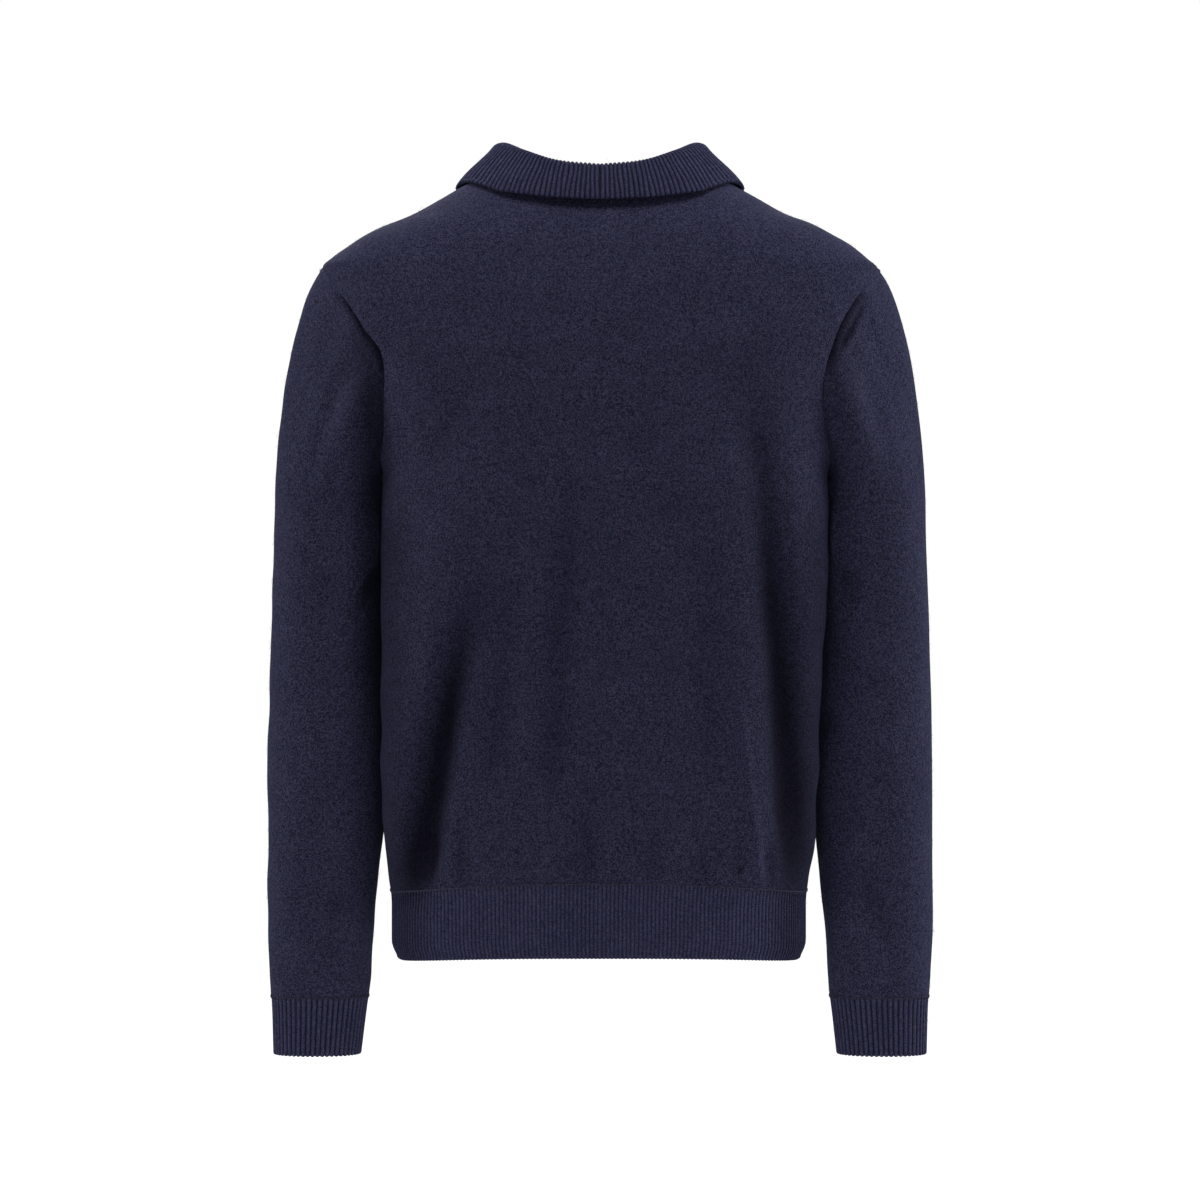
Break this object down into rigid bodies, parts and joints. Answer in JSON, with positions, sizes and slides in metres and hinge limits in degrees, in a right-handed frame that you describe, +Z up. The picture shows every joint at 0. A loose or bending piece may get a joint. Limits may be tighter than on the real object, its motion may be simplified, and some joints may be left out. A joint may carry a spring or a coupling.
{
  "type": "polo collar cardigan",
  "caption": "Knitted wool cardigan with a ribbed fold-over polo collar, long set-in sleeves, ribbed cuffs and waistband, and a buttoned front band, filled out as if worn.",
  "frame": {"origin": "on the centre line inside the neck, level with the two points where the shoulder seams meet the collar", "axes": "+Z up, +X to the wearer's left, +Y to the wearer's back, so the buttoned front faces -Y"},
  "size_m": [0.5756, 0.2498, 0.7877],
  "materials": {
    "felted_knit": "dark navy felted wool knit, matte, with a fine fuzz and flecks",
    "rib_knit": "dark navy wool rib knit, matte, slightly fuzzy",
    "button_resin": "dark navy resin, satin"
  },
  "bodies": {
    "root": {"back_panel": "felted_knit", "left_front": "felted_knit", "right_front": "felted_knit", "left_sleeve": "felted_knit", "right_sleeve": "felted_knit", "left_cuff": "rib_knit", "right_cuff": "rib_knit", "waistband": "rib_knit", "button_band": "rib_knit", "buttonhole_band": "rib_knit", "collar": "rib_knit", "button_1": "button_resin", "button_2": "button_resin", "button_3": "button_resin", "button_4": "button_resin", "button_5": "button_resin", "button_6": "button_resin", "button_7": "button_resin"}
  },
  "joints": []
}
